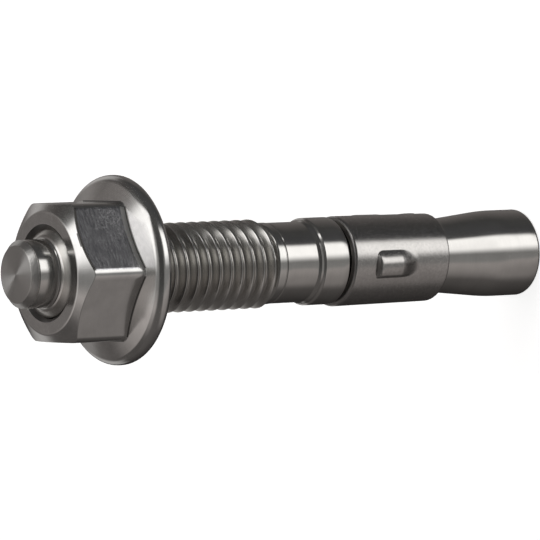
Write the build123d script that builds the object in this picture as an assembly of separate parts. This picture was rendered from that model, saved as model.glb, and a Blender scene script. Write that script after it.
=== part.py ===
from build123d import *
import math
import os

# Wedge anchor (torque-controlled expansion stud), millimetres.
# The anchor stands on the flat face of its expander cone: z = 0 is that face, +Z runs along the
# bolt towards the dog point, and the bolt's own axis is the Z axis.

# ---------------------------------------------------------------- driving dimensions
# stud
overall_length = 80.5
cone_end_radius = 5.855        # full-diameter end of the expander
cone_end_round = 0.40          # rounded rim of the expander's end face
cone_break_z = 5.81            # where the expander's cylinder and cone would meet sharp
cone_blend_radius = 32.0       # long blend between the two
cone_slope = 0.1063            # radius lost per mm of height, 6.07 degrees
neck_radius = 4.80             # waist that carries the sleeve
collar_low_z = 31.90
collar_radius = 5.84
collar_top_z = 35.60           # top of the collar's cylinder
collar_bevel_z = 36.65         # bevel from the collar back to the shank
shank_radius = 5.375           # rolled blank, equal to the thread's pitch radius
runout_z = 41.60
full_thread_z = 43.40
thread_major_radius = 5.90     # M12 x 1.75, coarse
thread_top_z = 75.50
thread_chamfer_z = 76.55
thread_chamfer_radius = 4.60
dog_radius = 4.45              # plain dog point that takes the hammer blows
dog_low_z = 76.85
dog_chamfer = 0.72
dog_face_radius = 3.74

# flange nut
nut_bearing_z = 64.25          # face that bears on the fixture
nut_top_z = 76.15
across_flats = 17.92
hex_corner_round = 1.0
hex_turn_deg = -1.2            # one corner points almost exactly along -Y
top_face_radius = 7.96         # flat ring inside the corner chamfer
corner_chamfer_deg = 31.0
flange_radius = 12.42
flange_rim_round = 1.05        # rim is nearly a full round
flange_cone_z = 67.56          # where the flats run into the flange cone, at their middles
flange_cone_deg = 19.3
nut_bore_radius = 5.95         # thread crests are plain: 0.05 clear of the stud's major radius
nut_top_countersink = 6.35
nut_bottom_countersink = 6.40

# expansion sleeve (sheet clip)
sleeve_low_z = 15.45
sleeve_top_z = 31.14
sleeve_outer_low = 5.92
sleeve_outer_top = 6.04
sleeve_inner_radius = 4.90     # 0.10 clear of the neck
sleeve_offset_x = -0.08        # the loose sleeve lies a little to one side of the neck
sleeve_edge_round = 0.32
seam_gap = 1.2                 # the rolled sheet's two edges stand this far apart
seam_azimuth = 174.0           # azimuths run from -Y towards +X
# pressed-out grips: azimuth, z of the steep (sheared) edge, z of the crest's other end, z of the ramp's end
bump_half_width = 1.82
bump_height = 0.42
bump_press_depth = 0.40
bumps = [
    (-5.6, 27.35, 23.20, 20.95),
    (112.0, 26.80, 22.60, 21.30),
    (112.0, 16.85, 20.00, 21.25),
    (-126.0, 27.35, 22.90, 21.30),
    (-126.0, 16.85, 20.00, 21.25),
]

os.makedirs("parts", exist_ok=True)


def turned(points_and_arcs):
    """Revolve a closed (r, z) outline about the Z axis. Entries are points, or ('arc', mid, end)."""
    edges = []
    here = points_and_arcs[0]
    first = here
    for item in points_and_arcs[1:]:
        if item[0] == "arc":
            mid, end = item[1], item[2]
            edges.append(ThreePointArc((here[0], 0, here[1]), (mid[0], 0, mid[1]), (end[0], 0, end[1])))
            here = end
        else:
            edges.append(Line((here[0], 0, here[1]), (item[0], 0, item[1])))
            here = item
    if abs(here[0] - first[0]) > 1e-9 or abs(here[1] - first[1]) > 1e-9:
        edges.append(Line((here[0], 0, here[1]), (first[0], 0, first[1])))
    face = make_face(Wire(edges).edges())
    return revolve(face, Axis.Z, 360)


def arc_mid(cx, cz, r, a0, a1):
    """Middle and end points of an arc about (cx, cz), angles in degrees in the (r, z) plane."""
    am = math.radians((a0 + a1) / 2)
    ae = math.radians(a1)
    return (cx + r * math.cos(am), cz + r * math.sin(am)), (cx + r * math.cos(ae), cz + r * math.sin(ae))


# ---------------------------------------------------------------- anchor stud
alpha = math.atan(cone_slope)
t_len = cone_blend_radius * math.tan(alpha / 2)
blend_low = (cone_end_radius, cone_break_z - t_len)
blend_mid, blend_top = arc_mid(
    cone_end_radius - cone_blend_radius, cone_break_z - t_len, cone_blend_radius, 0, math.degrees(alpha)
)
neck_low_z = cone_break_z + (cone_end_radius - neck_radius) / cone_slope
rim_mid, rim_end = arc_mid(cone_end_radius - cone_end_round, cone_end_round, cone_end_round, -90, 0)
collar_edge = 0.12
c_mid, c_end = arc_mid(collar_radius - collar_edge, collar_low_z + collar_edge, collar_edge, -90, 0)

stud_outline = [
    (0, 0),
    (cone_end_radius - cone_end_round, 0),
    ("arc", rim_mid, rim_end),
    blend_low,
    ("arc", blend_mid, blend_top),
    (neck_radius, neck_low_z),
    (neck_radius, collar_low_z),
    (collar_radius - collar_edge, collar_low_z),
    ("arc", c_mid, c_end),
    (collar_radius, collar_top_z),
    (shank_radius, collar_bevel_z),
    (shank_radius, runout_z),
    (thread_major_radius, full_thread_z),
    (thread_major_radius, thread_top_z),
    (thread_chamfer_radius, thread_chamfer_z),
    (dog_radius, dog_low_z),
    (dog_radius, overall_length - dog_chamfer),
    (dog_face_radius, overall_length),
    (0, overall_length),
]
anchor_stud = turned(stud_outline)

# ---------------------------------------------------------------- flange nut
apothem = across_flats / 2
hexagon = RegularPolygon(radius=apothem / math.cos(math.radians(30)), side_count=6, rotation=hex_turn_deg - 90)
hexagon = fillet(hexagon.vertices(), hex_corner_round)
hex_prism = Pos(0, 0, nut_bearing_z + 1.0) * extrude(hexagon, nut_top_z - nut_bearing_z - 1.0)
chamfer_run = (12.0 - top_face_radius) * math.tan(math.radians(corner_chamfer_deg))
corner_trim = turned(
    [
        (0, nut_bearing_z),
        (12.0, nut_bearing_z),
        (12.0, nut_top_z - chamfer_run),
        (top_face_radius, nut_top_z),
        (0, nut_top_z),
    ]
)
hex_prism = hex_prism & corner_trim

slope = math.radians(flange_cone_deg)
rim_c = flange_radius - flange_rim_round
# the rim's upper round is tangent to the flange cone, and its lower round meets the bearing face
cone_z_at = lambda r: flange_cone_z - (r - apothem) * math.tan(slope)
upper_c = (rim_c, cone_z_at(rim_c + flange_rim_round * math.sin(slope)) - flange_rim_round * math.cos(slope))
lower_c = (rim_c, nut_bearing_z + flange_rim_round)
up_mid, up_end = arc_mid(upper_c[0], upper_c[1], flange_rim_round, 0, 90 - flange_cone_deg)
lo_mid, lo_end = arc_mid(lower_c[0], lower_c[1], flange_rim_round, -90, 0)
flange = turned(
    [
        (0, nut_bearing_z),
        (rim_c, nut_bearing_z),
        ("arc", lo_mid, lo_end),
        (flange_radius, upper_c[1]),
        ("arc", up_mid, up_end),
        (7.0, cone_z_at(7.0)),
        (0, cone_z_at(7.0)),
    ]
)
nut_bore = turned(
    [
        (0, nut_bearing_z - 1),
        (nut_bottom_countersink + 1, nut_bearing_z - 1),
        (nut_bore_radius, nut_bearing_z + (nut_bottom_countersink - nut_bore_radius)),
        (nut_bore_radius, nut_top_z - (nut_top_countersink - nut_bore_radius)),
        (nut_top_countersink + 1, nut_top_z + 1),
        (0, nut_top_z + 1),
    ]
)
flange_nut = (hex_prism + flange) - nut_bore

# ---------------------------------------------------------------- expansion sleeve
e = sleeve_edge_round
taper = (sleeve_outer_top - sleeve_outer_low) / (sleeve_top_z - sleeve_low_z)
r_at = lambda z: sleeve_outer_low + taper * (z - sleeve_low_z)
shell_outline = [
    (sleeve_inner_radius, sleeve_low_z),
    (r_at(sleeve_low_z) - e, sleeve_low_z),
    ("arc", *arc_mid(r_at(sleeve_low_z) - e, sleeve_low_z + e, e, -90, 0)),
    (r_at(sleeve_top_z - e), sleeve_top_z - e),
    ("arc", *arc_mid(r_at(sleeve_top_z - e) - e, sleeve_top_z - e, e, 0, 90)),
    (sleeve_inner_radius, sleeve_top_z),
]
sleeve = turned(shell_outline)


def lobe(z_steep, z_crest, z_ramp, half_width, crest_radius, base_radius, floor_radius):
    """One pressed-out grip standing on the -Y side: an arched bar with a steep end and a ramped end.

    Its cross-section is an arc over a chord, swept along Z as a loft that sinks into the shell on the ramp.
    """

    def section(z, top):
        w = half_width
        base = math.sqrt(base_radius**2 - w**2)
        wire = Wire(
            [
                Line((-w, -floor_radius, z), (-w, -base, z)),
                ThreePointArc((-w, -base, z), (0, -top, z), (w, -base, z)),
                Line((w, -base, z), (w, -floor_radius, z)),
                Line((w, -floor_radius, z), (-w, -floor_radius, z)),
            ]
        )
        return make_face(wire.edges())

    sgn = 1 if z_steep > z_crest else -1
    body = loft([section(z_steep - sgn * 0.45, crest_radius), section(z_crest, crest_radius)])
    steep = loft([section(z_steep, base_radius - 0.01), section(z_steep - sgn * 0.45, crest_radius)])
    ramp = loft([section(z_crest, crest_radius), section(z_ramp, base_radius - 0.01)])
    return body + steep + ramp


for azimuth, z_steep, z_crest, z_ramp in bumps:
    mid_r = r_at((z_steep + z_ramp) / 2)
    outer = lobe(z_steep, z_crest, z_ramp, bump_half_width, mid_r + bump_height, mid_r - 0.004, sleeve_inner_radius + 0.3)
    sleeve = sleeve + Rot(0, 0, azimuth) * outer
for azimuth, z_steep, z_crest, z_ramp in bumps:
    # the punch's hollow on the inside, so the sheet keeps its thickness
    s = 1 if z_steep > z_crest else -1
    inner = lobe(
        z_steep - s * 0.5,
        z_crest + s * 0.2,
        z_ramp + s * 0.5,
        bump_half_width - 0.6,
        sleeve_inner_radius + bump_press_depth,
        sleeve_inner_radius + 0.005,
        sleeve_inner_radius - 0.6,
    )
    sleeve = sleeve - Rot(0, 0, azimuth) * inner

seam = Pos(0, -5.4, (sleeve_low_z + sleeve_top_z) / 2) * Box(seam_gap, 3.2, sleeve_top_z - sleeve_low_z + 2)
sleeve = sleeve - Rot(0, 0, seam_azimuth) * seam
expansion_sleeve = Pos(sleeve_offset_x, 0, 0) * sleeve

for name, shape in (
    ("anchor_stud", anchor_stud),
    ("flange_nut", flange_nut),
    ("expansion_sleeve", expansion_sleeve),
):
    solids = shape.solids()
    assert len(solids) == 1, (name, len(solids))
    solid = solids[0]
    assert solid.is_valid, name
    export_step(solid, f"parts/{name}.step")
    box = solid.bounding_box()
    print(name, "volume mm3 %.1f" % solid.volume, "box", tuple(round(v, 3) for v in (*box.min, *box.max)))
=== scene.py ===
import math

import bpy
import numpy as np
from mathutils import Matrix, Vector


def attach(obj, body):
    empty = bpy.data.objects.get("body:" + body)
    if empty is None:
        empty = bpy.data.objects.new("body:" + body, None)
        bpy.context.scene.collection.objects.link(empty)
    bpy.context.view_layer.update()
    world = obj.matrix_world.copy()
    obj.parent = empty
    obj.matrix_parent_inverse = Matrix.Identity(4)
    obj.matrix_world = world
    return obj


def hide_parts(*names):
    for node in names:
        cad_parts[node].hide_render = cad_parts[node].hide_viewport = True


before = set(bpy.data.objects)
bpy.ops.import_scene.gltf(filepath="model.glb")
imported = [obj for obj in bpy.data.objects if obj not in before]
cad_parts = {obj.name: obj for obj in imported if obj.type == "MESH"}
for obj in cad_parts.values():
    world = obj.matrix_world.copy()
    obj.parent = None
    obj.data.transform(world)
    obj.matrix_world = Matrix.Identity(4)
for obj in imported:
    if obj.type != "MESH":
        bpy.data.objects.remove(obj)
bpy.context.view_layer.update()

# A flange-nut wedge anchor, standing on the flat end of its expander cone.  All the modelling below is in
# millimetres about the Z axis.  Azimuths are measured from -Y towards +X.
MM = 0.001
TAU = 2 * math.pi

# ------------------------------------------------------------------ sizes, as in the construction model
OVERALL = 80.5
CONE_R, CONE_ROUND, CONE_BREAK, CONE_BLEND, CONE_SLOPE = 5.855, 0.52, 5.81, 32.0, 0.1063
NECK_R = 4.80
COLLAR_LOW, COLLAR_R, COLLAR_TOP = 31.90, 5.84, 35.72
SHANK_R = 5.375
RUNOUT, THREAD_START, LAND_R = 41.60, 42.85, 5.42
MAJOR_R, ROOT_R, PITCH, CREST_Z = 5.93, 4.95, 1.75, 59.72
THREAD_END, THREAD_END_R = 76.36, 4.90
DOG_R, DOG_LOW, DOG_CHAMFER, DOG_FACE_R = 4.45, 76.85, 0.72, 3.74

NUT_LOW, NUT_TOP, FLATS = 64.25, 76.15, 17.92
APOTHEM = FLATS / 2
HEX_ROUND, HEX_TURN = 1.50, -1.2
TOP_FACE_R, CHAMFER_DEG = 7.96, 31.0
FLANGE_R, RIM_ROUND, FLANGE_CONE_Z, FLANGE_CONE_DEG = 12.41, 1.05, 67.56, 19.3
TOP_SINK, LOW_SINK = 6.38, 6.40

SLEEVE_LOW, SLEEVE_TOP = 15.45, 31.14
SLEEVE_OUT_LOW, SLEEVE_OUT_TOP = 5.92, 6.04
SLEEVE_IN = 5.02
SLEEVE_X = -0.13
SEAM_GAP, SEAM_AZ = 1.2, 174.0


# ------------------------------------------------------------------ mesh helpers
def smooth01(t):
    t = np.clip(t, 0.0, 1.0)
    return t * t * (3 - 2 * t)


def fillet(points):
    """(r, z[, radius[, segments]]) corners to a polyline with rounded corners."""
    out = []
    n = len(points)
    for i, p in enumerate(points):
        r = p[2] if len(p) > 2 else 0.0
        if r <= 0 or i in (0, n - 1):
            out.append((p[0], p[1]))
            continue
        seg = p[3] if len(p) > 3 else 4
        a = np.array(points[i - 1][:2], float)
        b = np.array(p[:2], float)
        c = np.array(points[i + 1][:2], float)
        u, v = a - b, c - b
        lu, lv = np.linalg.norm(u), np.linalg.norm(v)
        u, v = u / lu, v / lv
        ang = math.acos(max(-1.0, min(1.0, float(u @ v))))
        if ang > math.pi - 1e-3:
            out.append((p[0], p[1]))
            continue
        t = min(r / math.tan(ang / 2), 0.48 * lu, 0.48 * lv)
        rr = t * math.tan(ang / 2)
        mid = (u + v) / np.linalg.norm(u + v)
        centre = b + mid * (rr / math.sin(ang / 2))
        s, e = b + u * t - centre, b + v * t - centre
        a0, a1 = math.atan2(s[1], s[0]), math.atan2(e[1], e[0])
        d = (a1 - a0 + math.pi) % TAU - math.pi
        for k in range(seg + 1):
            w = a0 + d * k / seg
            out.append((centre[0] + rr * math.cos(w), centre[1] + rr * math.sin(w)))
    return out


def grid_mesh(name, points, faces, sharp_deg=38.0):
    """A mesh object from points in mm; equal points are merged and faces that collapse are dropped."""
    pts = np.asarray(points, float)
    key = np.round(pts * 1e5 + 0.137).astype(np.int64)
    _, first, inverse = np.unique(key, axis=0, return_index=True, return_inverse=True)
    inverse = inverse.reshape(-1)
    order = np.argsort(first)
    rank = np.empty_like(order)
    rank[order] = np.arange(len(order))
    verts = pts[first[order]] * MM
    ids = rank[inverse]
    seen = set()
    kept = []
    for f in faces:
        g = [int(ids[i]) for i in f]
        h = [g[k] for k in range(len(g)) if g[k] != g[k - 1]]
        if len(h) < 3 or len(set(h)) < len(h):
            continue
        kept.append(h)
    mesh = bpy.data.meshes.new(name)
    mesh.from_pydata(verts.tolist(), [], kept)
    mesh.validate(verbose=False)
    mesh.update()
    mesh.shade_smooth()
    mesh.set_sharp_from_angle(angle=math.radians(sharp_deg))
    obj = bpy.data.objects.new(name, mesh)
    bpy.context.scene.collection.objects.link(obj)
    return obj


def wrap_faces(rows, cols, start=0):
    """Quads of a (rows x cols) grid of points whose columns run once round the axis, outward for rising z."""
    f = []
    for i in range(rows - 1):
        a = start + i * cols
        b = a + cols
        for j in range(cols - 1):
            f.append((a + j, a + j + 1, b + j + 1, b + j))
    return f


def ring_points(radius, z, phi):
    return np.stack([radius * np.sin(phi), -radius * np.cos(phi), z], -1)


def thread_rows(us, radii, z_lo, z_hi):
    """Row offsets of one helical start that cover z_lo..z_hi for every azimuth: (z at azimuth 0, radius, u)."""
    m0 = math.floor((z_lo - PITCH - CREST_Z) / PITCH) - 1
    m1 = math.ceil((z_hi - CREST_Z) / PITCH) + 1
    rows = []
    for m in range(m0, m1 + 1):
        for u, r in zip(us, radii):
            z = CREST_Z + m * PITCH + u
            if z_lo - PITCH - 1e-9 <= z + 1e-9 and z <= z_hi + 1e-9:
                rows.append((z, r, u))
    return rows


# ------------------------------------------------------------------ anchor stud, with its rolled thread
COLS = 168
phi = np.linspace(0.0, TAU, COLS + 1)


def stud_profile_low():
    alpha = math.atan(CONE_SLOPE)
    t = CONE_BLEND * math.tan(alpha / 2)
    zc = CONE_BREAK - t
    p = [(0.0, 0.0), (1.2, 0.0), (3.2, 0.0)]
    for k in range(9):
        a = -math.pi / 2 + k * math.pi / 16
        p.append((CONE_R - CONE_ROUND + CONE_ROUND * math.cos(a), CONE_ROUND + CONE_ROUND * math.sin(a)))
    p += [(CONE_R, z) for z in (1.6, 2.4, 3.2)]
    for k in range(7):
        a = alpha * k / 6
        p.append((CONE_R - CONE_BLEND + CONE_BLEND * math.cos(a), zc + CONE_BLEND * math.sin(a)))
    z_neck = CONE_BREAK + (CONE_R - NECK_R) / CONE_SLOPE
    z = p[-1][1]
    while z < z_neck - 1.0:
        z += 1.0
        p.append((CONE_R - CONE_SLOPE * (z - CONE_BREAK), z))
    p += fillet([(p[-1][0], p[-1][1]), (NECK_R, z_neck, 3.0, 4), (NECK_R, COLLAR_LOW - 0.6)])[1:]
    p += fillet(
        [
            (NECK_R, COLLAR_LOW - 0.6),
            (NECK_R, COLLAR_LOW, 0.25, 3),
            (COLLAR_R, COLLAR_LOW, 0.14, 4),
            (COLLAR_R, COLLAR_LOW + 1.0),
        ]
    )[1:]
    p += [(COLLAR_R, COLLAR_LOW + 2.2), (COLLAR_R, COLLAR_TOP - 0.5)]
    p += fillet(
        [
            (COLLAR_R, COLLAR_TOP - 0.5),
            (COLLAR_R, COLLAR_TOP, 0.13, 4),
            (5.61, 35.95, 0.06, 3),
            (5.56, 36.25, 0.07, 3),
            (SHANK_R, 36.66, 0.50, 4),
            (SHANK_R, 38.60),
        ]
    )[1:]
    p += [(SHANK_R, z) for z in (39.6, 40.8)]
    p += fillet(
        [
            (SHANK_R, 40.8),
            (SHANK_R, RUNOUT - 0.08, 0.05, 3),
            (5.295, RUNOUT + 0.01, 0.03, 3),
            (5.295, RUNOUT + 0.09, 0.03, 3),
            (LAND_R, RUNOUT + 0.20, 0.03, 3),
            (LAND_R, RUNOUT + 0.30),
        ]
    )[1:]
    return p


U = [-0.76, -0.65, -0.56, -0.34, -0.12, -0.08, -0.045, 0.0, 0.045, 0.08, 0.12, 0.34, 0.56, 0.65, 0.76, 0.875]


def external_radius(u):
    return np.interp(
        abs(u),
        [0.0, 0.045, 0.08, 0.12, 0.56, 0.65, 0.76, 0.875],
        [5.930, 5.925, 5.900, 5.840, 5.095, 5.000, 4.960, 4.950],
    )


def thread_limit(z):
    """Largest radius of the thread's stock: rolled lead-in, then the chamfer down to the groove under the dog."""
    return np.interp(z, [0, 74.9, 75.45, 75.75, 76.36, 90], [5.97, 5.96, 5.90, 5.72, 4.90, 4.90])


def make_stud():
    rows = []  # each row: (z array, radius array)
    for r, z in stud_profile_low():
        rows.append((np.full(COLS + 1, z), np.full(COLS + 1, r)))
    z_lo, z_hi = RUNOUT + 0.30, THREAD_END
    for z0, r0, u in thread_rows(U, [external_radius(u) for u in U], z_lo, z_hi):
        z = z0 + PITCH * phi / TAU
        for crease in (75.75,):
            z = np.where(np.abs(z - crease) < 0.06, crease, z)
        z = np.clip(z, z_lo, z_hi)
        fade = smooth01((z - THREAD_START) / 0.50)
        r = LAND_R + (r0 - LAND_R) * fade
        r = r + (MAJOR_R - r) * smooth01((z - 74.85) / 0.75)
        r = np.minimum(r, thread_limit(z))
        rows.append((z, r))
    top = fillet(
        [
            (THREAD_END_R, THREAD_END),
            (4.60, 76.44, 0.06, 3),
            (4.60, 76.62, 0.06, 3),
            (4.50, 76.72, 0.05, 3),
            (DOG_R, 76.90, 0.10, 4),
            (DOG_R, 78.00),
        ]
    )[1:]
    top += fillet(
        [
            (DOG_R, 78.0),
            (DOG_R, 79.50, 0.08, 3),
            (DOG_R - 0.05, 79.60, 0.05, 3),
            (DOG_R + 0.01, OVERALL - DOG_CHAMFER, 0.10, 4),
            (DOG_FACE_R, OVERALL, 0.10, 4),
            (3.4, OVERALL),
        ]
    )[1:]
    top += [(2.4, OVERALL), (1.2, OVERALL), (0.0, OVERALL)]
    for r, z in top:
        rows.append((np.full(COLS + 1, z), np.full(COLS + 1, r)))
    pts = np.concatenate([ring_points(r, z, phi) for z, r in rows])
    obj = grid_mesh("anchor_stud_body", pts, wrap_faces(len(rows), COLS + 1))
    return obj


# ------------------------------------------------------------------ flange nut
def hex_columns():
    """Azimuths (radians, ascending, once round) with more of them at the rounded corners."""
    half = math.pi / 6
    corner = APOTHEM / math.cos(half)
    centre = corner - HEX_ROUND / math.cos(half)  # distance of the corner arc's centre
    # angle, seen from the axis, at which the corner arc meets the flat
    px = centre + HEX_ROUND * math.cos(half)
    py = HEX_ROUND * math.sin(half)
    tangent = math.atan2(py, px)
    local = [0.0]
    for k in range(1, 7):
        a = half * k / 6
        local.append(math.atan2(HEX_ROUND * math.sin(a), centre + HEX_ROUND * math.cos(a)))
    local.append(tangent + math.radians(0.35))
    step = np.linspace(tangent + math.radians(0.35), half, 13)[1:]
    local += step.tolist()
    side = local + [TAU / 6 - a for a in reversed(local[1:-1])]
    out = []
    for k in range(6):
        out += [math.radians(HEX_TURN) + k * TAU / 6 + a for a in side]
    return np.array(out + [out[0] + TAU]), corner, centre, tangent


def hex_radius(az, corner, centre, tangent):
    w = (az - math.radians(HEX_TURN)) % (TAU / 6)
    w = np.minimum(w, TAU / 6 - w)  # angle from the nearest corner
    flat = APOTHEM / np.cos(TAU / 12 - w)
    arc = centre * np.cos(w) + np.sqrt(np.maximum(HEX_ROUND**2 - (centre * np.sin(w)) ** 2, 0))
    return np.where(w < tangent, arc, flat)


def make_nut():
    az, corner, centre, tangent = hex_columns()
    n = len(az)
    hexr = hex_radius(az, corner, centre, tangent)
    tan_c = math.tan(math.radians(CHAMFER_DEG))
    s = math.radians(FLANGE_CONE_DEG)
    cone_z = lambda r: FLANGE_CONE_Z - (r - APOTHEM) * math.tan(s)
    up_r, low_r = RIM_ROUND + 0.20, RIM_ROUND - 0.17
    rim_c, rim_c2 = FLANGE_R - up_r, FLANGE_R - low_r
    rim_z = cone_z(rim_c + up_r * math.sin(s)) - up_r * math.cos(s)
    low_z = NUT_LOW + low_r
    columns = []
    for a, h in zip(az, hexr):
        z_c = NUT_TOP - (h - TOP_FACE_R) * tan_c
        z_f = cone_z(h)
        body = fillet(
            [
                (5.95, NUT_TOP - (TOP_SINK - 5.95)),
                (TOP_SINK, NUT_TOP, 0.08, 3),
                (TOP_FACE_R, NUT_TOP, 0.70, 4),
                (h, z_c, 0.10, 4),
                (h, z_f, 0.16, 4),
                (rim_c + up_r * math.sin(s) - 0.02, cone_z(rim_c + up_r * math.sin(s) - 0.02)),
            ]
        )
        # extra rows that keep the flats flat beside their rounded edges
        ext = []
        for k, p in enumerate(body):
            ext.append(p)
            if k + 1 < len(body):
                q = body[k + 1]
                d = math.hypot(q[0] - p[0], q[1] - p[1])
                if k == 4 or k == 9 or k == 14 or k == 19:
                    m = 6 if k != 4 else 3
                    w = min(0.07, 0.2 * d) / d
                    marks = [w] + list(np.linspace(w, 1 - w, m + 1)[1:-1]) + [1 - w]
                    if k == 14:
                        marks = sorted(marks + [0.24 / d, 1 - 0.62 / d])
                    for t in marks:
                        ext.append((p[0] + (q[0] - p[0]) * t, p[1] + (q[1] - p[1]) * t))
        rim = []
        for k in range(9):
            w = math.radians(90 - FLANGE_CONE_DEG) * (1 - k / 8)
            rim.append((rim_c + up_r * math.cos(w), rim_z + up_r * math.sin(w)))
        for k in range(8):
            w = -math.pi / 2 * k / 7
            rim.append((rim_c2 + low_r * math.cos(w), low_z + low_r * math.sin(w)))
        foot = [(10.4, NUT_LOW), (8.6, NUT_LOW), (7.2, NUT_LOW)]
        foot += fillet([(7.2, NUT_LOW), (LOW_SINK, NUT_LOW, 0.08, 3), (5.95, NUT_LOW + LOW_SINK - 5.95)])[1:]
        columns.append(ext + rim + foot)
    rows = len(columns[0])
    assert all(len(c) == rows for c in columns), sorted({len(c) for c in columns})
    outer = []
    for i in range(rows):
        r = np.array([c[i][0] for c in columns])
        z = np.array([c[i][1] for c in columns])
        outer.append((z, r))
    # rows run from the top inwards edge down and round to the bottom: reverse them to rise in z at the bore
    pts = [ring_points(r, z, az) for z, r in outer]
    faces = []
    for i in range(rows - 1):
        a, b = i * n, (i + 1) * n
        for j in range(n - 1):
            faces.append((a + j, b + j, b + j + 1, a + j + 1))
    count = rows * n
    # the bore with its tapped thread, from the bottom countersink up to the top one
    z_lo = NUT_LOW + LOW_SINK - 5.95
    z_hi = NUT_TOP - (TOP_SINK - 5.95)
    us = [-0.80, -0.73, -0.64, -0.14, -0.10, 0.0, 0.10, 0.14, 0.64, 0.73, 0.80, 0.875]
    rad = lambda u: float(np.interp(abs(u), [0, 0.10, 0.14, 0.64, 0.73, 0.80, 0.875], [6.00, 5.985, 5.93, 5.10, 5.065, 5.06, 5.06]))
    bore = []
    base_rows = thread_rows(us, [rad(u) for u in us], z_lo, z_hi)
    dphi = az - az[0]
    for z0, r0, u in base_rows:
        # the helix is measured from azimuth 0; the seam of this mesh lies at az[0]
        z = z0 + PITCH * az[0] / TAU + PITCH * dphi / TAU
        z = np.clip(z, z_lo, z_hi)
        lead = np.minimum(z - z_lo, z_hi - z)
        r = np.maximum(r0, 5.95 - lead)  # 45 degree lead at each end
        r = np.minimum(r, 5.95 + 0.05 * smooth01(lead / 0.3))
        bore.append((z, r))
    for z, r in bore:
        pts.append(ring_points(r, z, az))
    m = len(bore)
    for i in range(m - 1):
        a = count + i * n
        b = a + n
        for j in range(n - 1):
            faces.append((a + j, b + j, b + j + 1, a + j + 1))
    obj = grid_mesh("flange_nut_body", np.concatenate(pts), faces, 33.0)
    return obj


# ------------------------------------------------------------------ expansion sleeve
# grips pressed out of the sheet: azimuth, z of the sheared end, z where the crest starts, z where the crest ends,
# z where the ramp has run out into the sheet again, height
GRIPS = [
    (-5.6, 27.45, 26.50, 23.65, 20.40, 0.72),
    (112.0, 26.80, 26.30, 23.00, 20.90, 0.16),
    (112.0, 16.62, 17.30, 18.20, 20.90, 0.18),
    (-126.0, 27.50, 26.70, 23.30, 20.90, 0.40),
    (-126.0, 16.62, 17.30, 18.20, 20.90, 0.40),
]
GRIP_HALF = 1.885
# the bar leans: a long side rises from its upper edge, a short steep one drops to its lower edge
_from = np.array([0, 0.04, 0.12, 0.49, 0.90, 1.16, 1.44, 1.80, 2.05, 2.44, 2.80, 3.20, 3.34, 3.44, 3.60, 3.70, 3.77])
_lean = np.array([0, 0.32, 0.60, 0.66, 0.64, 0.54, 0.38, 0.19, 0.11, 0.02, -0.12, -0.34, -0.60, -1.60, -1.80, -0.80, 0.0])
_fine = np.linspace(0, 3.77, 378)
_l = np.interp(_fine, _from, _lean)
_up = np.cumsum(np.maximum(_l, 0))
_down = np.cumsum(np.maximum(-_l, 0))
GRIP_ARCH = _up / _up[-1] - _down / _down[-1]


def grip_shape(across, z, grip, half=GRIP_HALF):
    """Height of one grip above the sheet; across runs towards rising azimuth."""
    _, z_steep, z_start, z_stop, z_ramp, height = grip
    s = 1.0 if z_steep > z_ramp else -1.0
    sigma = (half - across) / (2 * half) * 3.77
    z_edge = z_steep - s * 0.55 * np.clip(1 - sigma / 0.85, 0, 1) ** 2
    t = np.clip(s * (z_edge - z) / abs(z_steep - z_start), 0, 1)
    steep = np.interp(t, [0, 0.16, 0.32, 0.55, 0.80, 1.0], [0, 0.80, 0.91, 0.97, 0.995, 1.0])
    q = np.clip(np.abs(across) / half, 0, 1)
    run = abs(z_stop - z_ramp) * np.sqrt(1 - 0.80 * q**2)
    v = np.clip((s * (z_stop - z)) / run, 0, 1)
    ramp = (0.4 * (1 - v) ** 1.6 + 0.6 * (1 - v * v * (3 - 2 * v))) * (1 - 0.08 * np.clip(s * (z_start - z) / abs(z_start - z_stop), 0, 1))
    arch = np.interp(sigma, _fine, GRIP_ARCH, left=0.0, right=0.0)
    return height * np.minimum(steep, ramp) * np.maximum(arch, 0)


def sleeve_lean(z, phi):
    """The loose sleeve sits a little askew: its +X side lies lower than its -X side."""
    return z - 0.24 * np.sin(phi)


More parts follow.
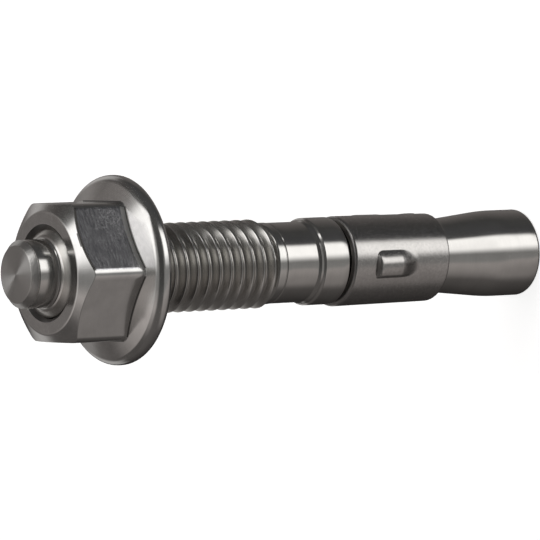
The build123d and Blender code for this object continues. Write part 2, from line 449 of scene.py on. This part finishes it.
def make_sleeve():
    seam = math.radians(SEAM_AZ)
    half_gap = SEAM_GAP / 2 / 5.4
    span = (seam + half_gap, seam - half_gap + TAU)
    # columns: even, with extra ones across each row of grips
    base = np.linspace(span[0], span[1], 104)
    extra = []
    for g in GRIPS:
        c = math.radians(g[0]) % TAU
        while c < span[0]:
            c += TAU
        h = GRIP_HALF / 5.87
        extra += [c + h * t for t in np.linspace(-1.03, 1.03, 45)]
    cols = np.unique(np.round(np.concatenate([base, extra]), 4))
    cols = cols[(cols >= span[0]) & (cols <= span[1])]
    cols[0], cols[-1] = span
    zs = set(np.round(np.arange(SLEEVE_LOW + 0.5, SLEEVE_TOP - 0.4, 0.33), 3).tolist())
    for g in GRIPS:
        zs |= {round(g[1] + (g[2] - g[1]) * t, 3) for t in (-0.055, 0.0, 0.06, 0.11, 0.16, 0.24, 0.32, 0.43, 0.55, 0.68, 0.80, 1.0)}
        zs |= {round(g[3] + (g[4] - g[3]) * t, 3) for t in (-0.06, 0, 0.06, 0.14, 0.22, 0.3, 0.4, 0.5, 0.6, 0.7, 0.8, 0.9, 1.0)}
    zs = np.array(sorted(zs))
    zs = zs[np.concatenate([[True], np.diff(zs) > 0.03])]
    taper = (SLEEVE_OUT_TOP - SLEEVE_OUT_LOW) / (SLEEVE_TOP - SLEEVE_LOW)
    r_at = lambda z: SLEEVE_OUT_LOW + taper * (z - SLEEVE_LOW)
    eo, eo_top, ei, seg = 0.26, 0.42, 0.12, 6
    rungs = []  # (outer r, outer z, inner r, inner z)
    for k in range(seg + 1):
        w = math.pi / 2 * k / seg
        ro = r_at(SLEEVE_LOW) - eo + eo * math.sin(w)
        rungs.append((ro, SLEEVE_LOW + eo - eo * math.cos(w), SLEEVE_IN + ei - ei * math.sin(w), SLEEVE_LOW + ei - ei * math.cos(w)))
    for z in zs:
        rungs.append((r_at(z), z, SLEEVE_IN, z))
    for k in range(seg + 1):
        w = math.pi / 2 * (1 - k / seg)
        ro = r_at(SLEEVE_TOP) - eo_top + eo_top * math.sin(w)
        rungs.append((ro, SLEEVE_TOP - eo_top + eo_top * math.cos(w), SLEEVE_IN + ei - ei * math.sin(w), SLEEVE_TOP - ei + ei * math.cos(w)))
    k_n = len(rungs)
    rungs = np.array(rungs)
    r = np.concatenate([rungs[:, 0], rungs[::-1, 2]])[None, :].repeat(len(cols), 0)
    z = np.concatenate([rungs[:, 1], rungs[::-1, 3]])[None, :].repeat(len(cols), 0)
    lift = np.zeros_like(r)
    for g in GRIPS:
        d = (cols - math.radians(g[0]) + math.pi) % TAU - math.pi
        across = (d * 5.87)[:, None]
        near = np.abs(across) < GRIP_HALF
        outer = np.where(near, grip_shape(across, z[:, :k_n], g), 0)
        lift[:, :k_n] = np.maximum(lift[:, :k_n], outer)
        sg = 1 if g[1] > g[4] else -1
        hollow = (g[0], g[1] - 0.5 * sg, g[2] - 0.4 * sg, g[3] + 0.2 * sg, g[4] + 0.5 * sg, 0.85 * g[5])
        inner = np.where(np.abs(across) < GRIP_HALF - 0.5, grip_shape(across, z[:, k_n:], hollow, GRIP_HALF - 0.5), 0)
        lift[:, k_n:] = np.maximum(lift[:, k_n:], inner)
    x = (r + lift) * np.sin(cols)[:, None] + SLEEVE_X
    y = -(r + lift) * np.cos(cols)[:, None]
    z = sleeve_lean(z, cols[:, None])
    pts = [np.stack([x, y, z], -1).reshape(-1, 3)]
    n_ring = 2 * k_n
    faces = []
    for j in range(len(cols) - 1):
        a, b = j * n_ring, (j + 1) * n_ring
        for i in range(n_ring):
            i2 = (i + 1) % n_ring
            faces.append((a + i, b + i, b + i2, a + i2))
    last = (len(cols) - 1) * n_ring
    for k in range(k_n - 1):
        o0, o1, i0, i1 = k, k + 1, n_ring - 1 - k, n_ring - 2 - k
        faces.append((o0, o1, i1, i0))
        faces.append((last + o0, last + i0, last + i1, last + o1))
    obj = grid_mesh("expansion_sleeve_body", np.concatenate(pts), faces, 40.0)
    return obj


stud = make_stud()
nut = make_nut()
sleeve = make_sleeve()

# ------------------------------------------------------------------ camera, at the photograph's viewing angle
cam_data = bpy.data.cameras.new("studio_camera")
cam = bpy.data.objects.new("studio_camera", cam_data)
bpy.context.scene.collection.objects.link(cam)
right = Vector((-0.03143128, -0.56642387, -0.82351447)).normalized()
ahead = Vector((-0.02160311, 0.82411407, -0.56601175)).normalized()
up = right.cross(ahead).normalized()
right = ahead.cross(up).normalized()
m = Matrix.Identity(4)
for i in range(3):
    m[i][0], m[i][1], m[i][2] = right[i], up[i], -ahead[i]
m.translation = Vector((14.438452, -585.691570, 443.123823)) * MM
cam.matrix_world = m
cam_data.sensor_width = 36.0
cam_data.lens = 356.86
cam_data.clip_start, cam_data.clip_end = 0.02, 10.0
bpy.context.scene.camera = cam

# ------------------------------------------------------------------ node helpers
class Tree:
    def __init__(self, tree):
        self.t = tree
        tree.nodes.clear()

    def new(self, kind, **props):
        n = self.t.nodes.new(kind)
        for k, v in props.items():
            setattr(n, k, v)
        return n

    def put(self, socket, value):
        if isinstance(value, bpy.types.NodeSocket):
            self.t.links.new(value, socket)
        else:
            socket.default_value = value

    def math(self, op, a, b=None, c=None, clamp=False):
        n = self.new("ShaderNodeMath", operation=op, use_clamp=clamp)
        for i, v in enumerate((a, b, c)):
            if v is not None:
                self.put(n.inputs[i], v)
        return n.outputs[0]

    def vec(self, op, a, b=None):
        n = self.new("ShaderNodeVectorMath", operation=op)
        self.put(n.inputs[0], a)
        if b is not None:
            self.put(n.inputs[1], b)
        return n.outputs["Value"] if op in ("DOT_PRODUCT", "LENGTH") else n.outputs[0]

    def ramp(self, fac, stops, interpolation="LINEAR"):
        n = self.new("ShaderNodeValToRGB")
        cr = n.color_ramp
        cr.interpolation = interpolation
        while len(cr.elements) > 1:
            cr.elements.remove(cr.elements[-1])
        first = True
        for pos, col in stops:
            col = tuple(col) if hasattr(col, "__len__") else (col, col, col)
            if first:
                cr.elements[0].position = pos
                e = cr.elements[0]
                first = False
            else:
                e = cr.elements.new(pos)
            e.color = (*col, 1.0)
        self.put(n.inputs[0], fac)
        return n.outputs[0]

    def mix(self, fac, a, b):
        n = self.new("ShaderNodeMix", data_type="RGBA")
        self.put(n.inputs[0], fac)
        for s, v in ((n.inputs[6], a), (n.inputs[7], b)):
            if isinstance(v, tuple) and len(v) == 3:
                v = (*v, 1.0)
            self.put(s, v)
        return n.outputs[2]

    def smooth(self, x, lo, hi):
        n = self.new("ShaderNodeMapRange", interpolation_type="SMOOTHSTEP")
        self.put(n.inputs[0], x)
        n.inputs[1].default_value = lo
        n.inputs[2].default_value = hi
        n.inputs[3].default_value = 0.0
        n.inputs[4].default_value = 1.0
        return n.outputs[0]


# ------------------------------------------------------------------ studio: a light tent with one long softbox
world = bpy.data.worlds.new("studio")
bpy.context.scene.world = world
world.use_nodes = True
w = Tree(world.node_tree)
direction = w.new("ShaderNodeTexCoord").outputs["Generated"]
u_ = w.vec("DOT_PRODUCT", direction, (0.9993, 0.0, -0.0381))
l_ = w.vec("DOT_PRODUCT", direction, (0.0314, 0.5664, 0.8235))
t_ = w.vec("DOT_PRODUCT", direction, (0.0216, -0.8241, 0.5660))
beta = w.math("MULTIPLY", w.math("ARCTAN2", u_, t_), 180 / math.pi)
pos = w.math("DIVIDE", w.math("ADD", beta, 180.0), 360.0)
S = lambda b: (b + 180.0) / 360.0
WARM, PLAIN, COOL = (1.05, 0.98, 0.95), (1.01, 1.0, 0.98), (0.99, 0.995, 1.03)


def walls(stops):
    """A ramp round the tent: (angle, brightness, tint)."""
    return w.ramp(pos, [(S(b), tuple(v * c for c in tint)) for b, v, tint in stops])


right_wall = walls(
    [
        (-180, 0.030, WARM), (-150, 0.034, WARM), (-124, 0.080, WARM), (-107, 0.135, WARM), (-93, 0.225, WARM),
        (-77, 0.250, WARM), (-56, 0.320, WARM), (-43, 0.340, WARM), (-30, 0.250, PLAIN), (-4, 0.230, PLAIN),
        (10, 0.200, PLAIN), (60, 0.120, PLAIN), (84, 0.080, COOL), (100, 0.055, COOL), (115, 0.055, PLAIN),
        (126, 0.090, WARM), (140, 0.140, WARM), (180, 0.150, WARM),
    ]
)
gap_wall = walls(
    [
        (-180, 0.028, WARM), (-150, 0.030, WARM), (-126, 0.055, WARM), (-102, 0.088, WARM), (-78, 0.105, WARM),
        (-54, 0.112, WARM), (-30, 0.090, PLAIN), (-12, 0.060, PLAIN), (10, 0.055, PLAIN), (60, 0.080, PLAIN),
        (90, 0.070, COOL), (115, 0.060, PLAIN), (130, 0.100, WARM), (150, 0.150, WARM), (170, 0.150, WARM),
    ]
)
left_wall = walls(
    [
        (-180, 0.150, WARM), (-150, 0.120, WARM), (-120, 0.085, WARM), (-90, 0.080, WARM), (-76, 0.095, WARM), (-56, 0.250, WARM),
        (-38, 0.420, WARM), (-18, 0.220, PLAIN), (-6, 0.230, PLAIN), (8, 0.400, PLAIN), (32, 0.380, PLAIN), (60, 0.150, PLAIN),
        (84, 0.080, PLAIN), (110, 0.075, WARM), (135, 0.120, WARM), (155, 0.200, WARM), (180, 0.155, WARM),
    ]
)
end_wall = walls(
    [
        (-180, 0.155, WARM), (-130, 0.230, WARM), (-90, 0.380, WARM), (-60, 0.540, WARM), (-35, 0.530, PLAIN),
        (-15, 0.220, PLAIN), (10, 0.400, PLAIN), (60, 0.300, PLAIN), (84, 0.250, PLAIN), (110, 0.200, WARM),
        (140, 0.200, WARM), (180, 0.155, WARM),
    ]
)
tent = w.mix(w.smooth(l_, -0.72, -0.50), right_wall, gap_wall)
tent = w.mix(w.smooth(l_, 0.20, 0.60), tent, left_wall)
tent = w.mix(w.smooth(l_, 0.82, 0.91), tent, end_wall)

# two upright strip lights at the back, left and right, just above and below the horizon
sep_d = w.new("ShaderNodeSeparateXYZ")
w.put(sep_d.inputs[0], direction)
dx, dy, dz = sep_d.outputs
flat_d = w.math("SQRT", w.math("ADD", w.math("MULTIPLY", dx, dx), w.math("MULTIPLY", dy, dy)))
aim = w.math("ADD", w.math("MULTIPLY", w.math("ABSOLUTE", dx), 0.5), w.math("MULTIPLY", dy, 0.866))
strip = w.smooth(w.math("DIVIDE", aim, flat_d), 0.93, 0.995)
strip = w.math("MULTIPLY", strip, w.math("MULTIPLY", w.smooth(dz, -0.38, -0.26), w.math("SUBTRACT", 1.0, w.smooth(dz, 0.10, 0.35))))
tent = w.mix(w.math("MULTIPLY", strip, 0.45), tent, (0.85, 0.84, 0.83))

# two softboxes, one at each end of the table; each is laid out on the plane square to that end
def end_panel(sign):
    reach = w.math("MAXIMUM", w.math("MULTIPLY", l_, sign), 0.02)
    return w.math("DIVIDE", t_, reach), w.math("DIVIDE", u_, reach), w.smooth(w.math("MULTIPLY", l_, sign), 0.02, 0.05)


a_r, b_r, on_r = end_panel(-1.0)
top_r = w.math("SUBTRACT", b_r, w.math("MULTIPLY_ADD", a_r, 0.71, 0.71))
right_box = w.math("MULTIPLY", w.smooth(b_r, 0.0, 0.36), w.math("SUBTRACT", 1.0, w.smooth(top_r, -0.16, 0.16)))
right_box = w.math("MULTIPLY", right_box, w.math("SUBTRACT", 1.0, w.smooth(a_r, 0.55, 0.88)))
right_box = w.math("MULTIPLY", right_box, w.smooth(a_r, -0.06, 0.14))
right_box = w.math("MULTIPLY", right_box, on_r)
a_l, b_l, on_l = end_panel(1.0)
top_l = w.math("SUBTRACT", b_l, w.math("MULTIPLY_ADD", a_l, 1.45, 0.34))
left_box = w.math("MULTIPLY", w.smooth(b_l, -0.12, 0.16), w.math("SUBTRACT", 1.0, w.smooth(top_l, -0.20, 0.05)))
side_l = w.math("MULTIPLY_ADD", b_l, -0.45, a_l)
left_box = w.math("MULTIPLY", left_box, w.math("SUBTRACT", 1.0, w.smooth(side_l, 0.60, 1.05)))
left_box = w.math("MULTIPLY", left_box, on_l)
studio = w.mix(right_box, tent, (1.46, 1.45, 1.43))
studio = w.mix(left_box, studio, (1.44, 1.43, 1.42))
camera_ray = w.new("ShaderNodeLightPath").outputs["Is Camera Ray"]
shown = w.mix(camera_ray, studio, (0.98, 0.98, 0.98))
bg = w.new("ShaderNodeBackground")
w.put(bg.inputs["Color"], shown)
bg.inputs["Strength"].default_value = 1.0
out = w.new("ShaderNodeOutputWorld")
w.t.links.new(bg.outputs[0], out.inputs["Surface"])
world.cycles.sampling_method = "NONE"

bpy.context.scene.view_settings.view_transform = "Standard"
bpy.context.scene.view_settings.look = "None"

# ------------------------------------------------------------------ the pale floor
def make_floor():
    n, rings = 96, 10
    pts, faces = [(0.0, 0.0, 0.0)], []
    radii = np.geomspace(20.0, 2500.0, rings)
    for r in radii:
        for k in range(n):
            a = TAU * k / n
            pts.append((r * math.cos(a), r * math.sin(a), 0.0))
    for k in range(n):
        faces.append((0, 1 + k, 1 + (k + 1) % n))
    for i in range(rings - 1):
        for k in range(n):
            a, b = 1 + i * n, 1 + (i + 1) * n
            faces.append((a + k, b + k, b + (k + 1) % n, a + (k + 1) % n))
    mesh = bpy.data.meshes.new("floor")
    mesh.from_pydata([(x * MM, y * MM, z * MM) for x, y, z in pts], [], faces)
    mesh.update()
    obj = bpy.data.objects.new("floor", mesh)
    bpy.context.scene.collection.objects.link(obj)
    mat = bpy.data.materials.new("pale_floor")
    mat.use_nodes = True
    t = Tree(mat.node_tree)
    diffuse = t.new("ShaderNodeBsdfDiffuse")
    diffuse.inputs["Color"].default_value = (0.8, 0.8, 0.8, 1.0)
    glow = t.new("ShaderNodeEmission")
    glow.inputs["Color"].default_value = (1.0, 1.0, 1.0, 1.0)
    glow.inputs["Strength"].default_value = 0.80
    add = t.new("ShaderNodeAddShader")
    t.t.links.new(diffuse.outputs[0], add.inputs[0])
    t.t.links.new(glow.outputs[0], add.inputs[1])
    o = t.new("ShaderNodeOutputMaterial")
    t.t.links.new(add.outputs[0], o.inputs["Surface"])
    mesh.materials.append(mat)
    obj.visible_glossy = False
    obj.visible_shadow = False
    return obj


floor = make_floor()


# ------------------------------------------------------------------ steel
def steel(name, colour, roughness, anisotropy, grain, bump, speckle, finish_and_shade=None):
    """Bright stainless steel. The optional hook (tree, z, rad, tone, spots) may return a colour factor and a roughness
    to add; its colour factor holds real finish and, for the thread, painted shade and a painted highlight.
    """
    mat = bpy.data.materials.new(name)
    mat.use_nodes = True
    t = Tree(mat.node_tree)
    place = t.new("ShaderNodeTexCoord").outputs["Object"]
    sep = t.new("ShaderNodeSeparateXYZ")
    t.put(sep.inputs[0], place)
    x, y, z = sep.outputs
    rad = t.math("SQRT", t.math("ADD", t.math("MULTIPLY", x, x), t.math("MULTIPLY", y, y)))
    # turned or rolled grain: fine across the feed, long round the axis
    comb = t.new("ShaderNodeCombineXYZ")
    t.put(comb.inputs[0], t.math("MULTIPLY", x, 120.0))
    t.put(comb.inputs[1], t.math("MULTIPLY", y, 120.0))
    t.put(comb.inputs[2], t.math("ADD", t.math("MULTIPLY", z, 9000.0), t.math("MULTIPLY", rad, 9000.0)))
    rings = t.new("ShaderNodeTexNoise", noise_dimensions="3D")
    t.put(rings.inputs["Vector"], comb.outputs[0])
    rings.inputs["Scale"].default_value = 1.0
    rings.inputs["Detail"].default_value = 2.0
    spots = t.new("ShaderNodeTexNoise", noise_dimensions="3D")
    t.put(spots.inputs["Vector"], place)
    spots.inputs["Scale"].default_value = 2600.0
    spots.inputs["Detail"].default_value = 3.0
    cloud = t.new("ShaderNodeTexNoise", noise_dimensions="3D")
    t.put(cloud.inputs["Vector"], place)
    cloud.inputs["Scale"].default_value = 350.0
    cloud.inputs["Detail"].default_value = 2.0
    tone = t.math("ADD", t.math("MULTIPLY", rings.outputs[0], 0.3), t.math("MULTIPLY", cloud.outputs[0], 0.7))
    dark = tuple(c * 0.95 for c in colour)
    light = tuple(min(1.0, c * 1.05) for c in colour)
    col = t.ramp(tone, [(0.35, dark), (0.65, light)])
    rough = t.math(
        "ADD",
        roughness - 0.5 * grain,
        t.math("ADD", t.math("MULTIPLY", rings.outputs[0], 0.5 * grain), t.math("MULTIPLY", cloud.outputs[0], 0.5 * grain)),
    )
    if finish_and_shade is not None:
        # the hook's colour factor may hold painted shade and painted highlight as well as real finish
        factor, more = finish_and_shade(t, x, y, z, rad, tone, spots.outputs[0])
        if factor is not None:
            shade = t.new("ShaderNodeMix", data_type="RGBA", blend_type="MULTIPLY")
            shade.inputs[0].default_value = 1.0
            t.put(shade.inputs[6], col)
            t.put(shade.inputs[7], factor)
            col = shade.outputs[2]
        if more is not None:
            rough = t.math("ADD", rough, more)
    height = t.math("ADD", t.math("MULTIPLY", rings.outputs[0], 1.0), t.math("MULTIPLY", spots.outputs[0], speckle))
    bumpn = t.new("ShaderNodeBump")
    bumpn.inputs["Strength"].default_value = bump
    bumpn.inputs["Distance"].default_value = 0.00002
    t.put(bumpn.inputs["Height"], height)
    p = t.new("ShaderNodeBsdfPrincipled")
    p.inputs["Metallic"].default_value = 1.0
    if anisotropy > 0:
        tangent = t.new("ShaderNodeTangent", direction_type="RADIAL", axis="Z")
        p.inputs["Anisotropic"].default_value = anisotropy
        p.inputs["Anisotropic Rotation"].default_value = 0.25
        t.put(p.inputs["Tangent"], tangent.outputs[0])
    t.put(p.inputs["Base Color"], col)
    t.put(p.inputs["Roughness"], rough)
    t.put(p.inputs["Normal"], bumpn.outputs[0])
    o = t.new("ShaderNodeOutputMaterial")
    t.t.links.new(p.outputs[0], o.inputs["Surface"])
    return mat


def grey(t, socket, pairs):
    return t.ramp(socket, [(p, (v * tint[0], v * tint[1], v * tint[2])) for p, v, tint in pairs])


def thread_film_shade_and_sheen(t, x, y, z, rad, tone, spots):
    """Rolled flanks and roots hold a faint film, and the colour darkens towards the roots as painted shade; the crests
    are rubbed bright, with a painted highlight added.
    """
    depth = t.new("ShaderNodeMapRange")
    t.put(depth.inputs[0], rad)
    depth.inputs[1].default_value, depth.inputs[2].default_value = 0.00490, 0.00590
    # painted shade: colour factor darker in the roots and flanks; painted highlight: brighter on the crests
    factor = t.ramp(
        depth.outputs[0],
        [(0.04, (0.88, 0.86, 0.84)), (0.50, (0.87, 0.86, 0.845)), (0.88, (0.90, 0.89, 0.875)), (0.965, (1.08, 1.08, 1.08))],
    )
    dull = t.math("MULTIPLY", t.math("SUBTRACT", 1.0, t.smooth(depth.outputs[0], 0.86, 0.96)), t.smooth(z, 0.04286, 0.04310))
    factor = t.mix(t.smooth(z, 0.04286, 0.04310), (1.0, 1.0, 1.0), factor)
    return factor, t.math("MULTIPLY", dull, 0.11)


def streaks(t, x, y, z, scale, stretch):
    """Noise drawn out along the axis, as a drawn or broached flat carries."""
    comb = t.new("ShaderNodeCombineXYZ")
    t.put(comb.inputs[0], t.math("MULTIPLY", x, scale))
    t.put(comb.inputs[1], t.math("MULTIPLY", y, scale))
    t.put(comb.inputs[2], t.math("MULTIPLY", z, scale * stretch))
    n = t.new("ShaderNodeTexNoise", noise_dimensions="3D")
    t.put(n.inputs["Vector"], comb.outputs[0])
    n.inputs["Scale"].default_value = 1.0
    n.inputs["Detail"].default_value = 4.0
    n.inputs["Roughness"].default_value = 0.65
    return n.outputs[0]


def nut_finish(t, x, y, z, rad, tone, spots):
    """Forged skin, almost even, with faint clouds."""
    cloud = streaks(t, x, y, z, 420.0, 1.0)
    base = t.ramp(cloud, [(0.35, (0.96, 0.96, 0.96)), (0.65, (1.04, 1.04, 1.04))])
    return base, t.math("MULTIPLY", t.math("SUBTRACT", cloud, 0.5), 0.06)


def flat_finish(t, x, y, z, rad, tone, spots):
    """Flat that has met the spanner: rubbed across, so its scratches run round the nut."""
    lines = streaks(t, x, y, z, 900.0, 4.5)
    speck = streaks(t, x, y, z, 3600.0, 1.0)
    patch = t.smooth(streaks(t, x, y, z, 230.0, 1.0), 0.42, 0.62)
    worn = t.math("MULTIPLY", patch, t.smooth(speck, 0.44, 0.66))
    base = t.ramp(lines, [(0.36, (0.70, 0.70, 0.715)), (0.64, (1.18, 1.18, 1.185))])
    factor = t.mix(t.math("MULTIPLY", worn, 0.7), base, (1.34, 1.33, 1.32))
    return factor, t.math("MULTIPLY", worn, 0.08)


def sleeve_finish(t, x, y, z, rad, tone, spots):
    """Fine matt grain of the pressed sheet, with a few brighter rubs."""
    grain = streaks(t, x, y, z, 3000.0, 1.0)
    rub = t.smooth(streaks(t, x, y, z, 900.0, 0.5), 0.60, 0.72)
    base = t.ramp(grain, [(0.30, (0.88, 0.88, 0.88)), (0.70, (1.10, 1.10, 1.10))])
    return t.mix(t.math("MULTIPLY", rub, 0.35), base, (1.15, 1.14, 1.13)), t.math("MULTIPLY", t.math("SUBTRACT", grain, 0.5), 0.20)


def assign(obj, mats, pick):
    """Gives obj its materials; pick(centre in mm, normal) chooses one for each face."""
    for m_ in mats:
        obj.data.materials.append(m_)
    for poly in obj.data.polygons:
        poly.material_index = pick(poly.center / MM, poly.normal)


def stud_pick(c, n):
    if c.z > OVERALL - 0.004 or c.z < 0.004:
        return 2
    if RUNOUT + 0.30 < c.z < THREAD_END + 0.02:
        return 1
    if c.z > OVERALL - DOG_CHAMFER - 0.02:
        return 3
    return 0


def nut_pick(c, n):
    r = math.hypot(c.x, c.y)
    # the flange's underside: rougher steel with darker colour as painted shade under the flange
    if c.z < NUT_LOW + 0.01 and n.z < -0.9:
        return 1
    # the countersink: painted shade, near-black steel
    if r < TOP_SINK and c.z > NUT_TOP - 1.0:
        return 2
    if r < 8.0 or c.z > NUT_TOP - 0.1:
        return 0
    az = math.atan2(c.x, -c.y)
    h = float(hex_radius(np.array(az), *HEX))
    local = (math.degrees(az) - HEX_TURN) % 60.0
    worn = 0.0 < (math.degrees(az) - HEX_TURN) % 360.0 < 60.0
    off_corner = 3.0 < local < 57.0
    z_f = FLANGE_CONE_Z - (h - APOTHEM) * math.tan(math.radians(FLANGE_CONE_DEG))
    z_c = NUT_TOP - (h - TOP_FACE_R) * math.tan(math.radians(CHAMFER_DEG))
    if off_corner and abs(r - h) < 0.17:
        # the crease between flat and flange, and the upper flat's chamfer edge: painted shade lines in near-black
        # steel
        if abs(c.z - z_f) < 0.14:
            return 2
        if worn and z_c - 0.26 < c.z < z_c + 0.12:
            return 2
        if worn and z_f < c.z < z_f + 0.62:
            return 4
        if worn:
            return 3
    return 0


def sleeve_pick(c, n):
    # faces that look along the axis (the sleeve's two ends and the grips' end walls) take a darker, rougher steel
    if abs(n.z) > 0.72:
        return 1
    return 0


HEX = hex_columns()[1:]
assign(
    stud,
    [
        steel("turned_stainless", (0.66, 0.645, 0.625), 0.14, 0.40, 0.05, 0.03, 0.4),
        steel("rolled_thread_stainless", (0.68, 0.67, 0.65), 0.14, 0.0, 0.05, 0.04, 0.8, thread_film_shade_and_sheen),
        steel("faced_stainless", (0.60, 0.59, 0.575), 0.29, 0.92, 0.08, 0.08, 0.3),
        steel("struck_chamfer_stainless", (0.56, 0.55, 0.535), 0.30, 0.30, 0.20, 0.30, 4.0),
    ],
    stud_pick,
)
assign(
    nut,
    [
        steel("forged_stainless", (0.71, 0.70, 0.685), 0.16, 0.0, 0.05, 0.02, 0.6, nut_finish),
        # painted shade: darker colour for the flange's underside, standing in for the shade under the flange
        steel("painted_shade_bearing_face_stainless", (0.38, 0.37, 0.36), 0.42, 0.50, 0.10, 0.20, 1.0),
        # painted shade: near-black steel for the countersink and the dark lines at the flats' edges
        steel("painted_shade_recess_stainless", (0.17, 0.165, 0.16), 0.38, 0.0, 0.10, 0.05, 1.0),
        steel("spanner_worn_stainless", (0.66, 0.655, 0.665), 0.17, 0.0, 0.05, 0.05, 2.0, flat_finish),
        steel("burred_edge_stainless", (0.72, 0.71, 0.70), 0.42, 0.0, 0.20, 0.15, 4.0),
    ],
    nut_pick,
)
assign(
    sleeve,
    [
        steel("pressed_stainless", (0.58, 0.563, 0.548), 0.215, 0.25, 0.06, 0.05, 1.2, sleeve_finish),
        # darker, rougher steel for the faces that look along the axis
        steel("darker_axial_face_stainless", (0.34, 0.33, 0.32), 0.42, 0.0, 0.10, 0.10, 1.0),
    ],
    sleeve_pick,
)

for piece, body, node, slot in (
    (stud, "stud", "anchor_stud", "stud_steel"),
    (nut, "nut", "flange_nut", "nut_steel"),
    (sleeve, "sleeve", "expansion_sleeve", "sleeve_steel"),
):
    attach(piece, body)
    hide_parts(node)

for o in (stud, nut, sleeve):
    print("TRIANGLES", o.name, sum(len(p.vertices) - 2 for p in o.data.polygons))
